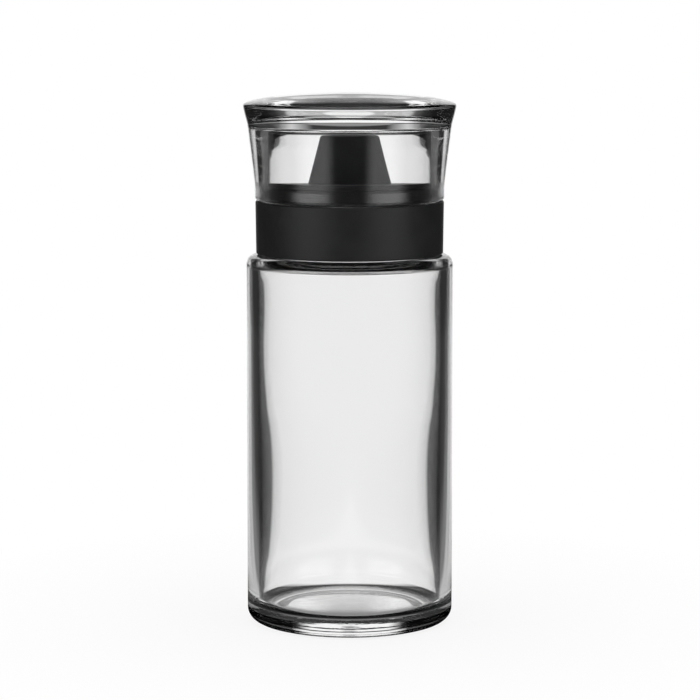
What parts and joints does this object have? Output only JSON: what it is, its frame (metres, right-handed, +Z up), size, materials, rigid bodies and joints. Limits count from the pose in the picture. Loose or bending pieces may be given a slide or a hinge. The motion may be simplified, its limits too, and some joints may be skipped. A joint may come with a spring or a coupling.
{
  "type": "oil cruet",
  "caption": "Cylindrical glass oil cruet with a thick base, a black screw collar, a conical pouring spout and a clear flared lift-off stopper.",
  "frame": {"origin": "centre of the flat ring that the bottle stands on", "axes": "+Z up along the axis of the bottle, from the base to the stopper; -Y faces the viewer of the picture"},
  "size_m": [0.0658, 0.0658, 0.1645],
  "materials": {
    "clear_glass": "clear pressed soda-lime glass, fire polished",
    "pale_silicone": "pale satin silicone",
    "satin_black_plastic": "fine satin moulded black plastic",
    "gloss_black_plastic": "polished black plastic",
    "soft_black_seal": "satin black soft seal",
    "insert_black_plastic": "plain moulded black plastic",
    "clear_acrylic": "thick clear polished acrylic"
  },
  "bodies": {
    "bottle": {"glass_bottle": "clear_glass"},
    "gasket": {"neck_gasket": "pale_silicone"},
    "cap": {"screw_collar": "satin_black_plastic", "pourer": "gloss_black_plastic", "stopper_ring": "soft_black_seal", "flow_insert": "insert_black_plastic"},
    "stopper": {"stopper": "clear_acrylic"}
  },
  "joints": [
    {"name": "collar_rise", "type": "slide", "parent": "bottle", "child": "gasket", "axis": [0, 0, 1], "range_m": [0, 0.0048]},
    {"name": "collar_turn", "type": "hinge", "parent": "gasket", "child": "cap", "pos_m": [0, 0, 0.123], "axis": [0, 0, 1], "range_deg": [0, 400]},
    {"name": "stopper_lift", "type": "slide", "parent": "cap", "child": "stopper", "axis": [0, 0, 1], "range_m": [0, 0.045]}
  ],
  "couplings": [
    {"joint": "collar_rise", "follows": "collar_turn", "m_per_rad": 0.00066845}
  ]
}
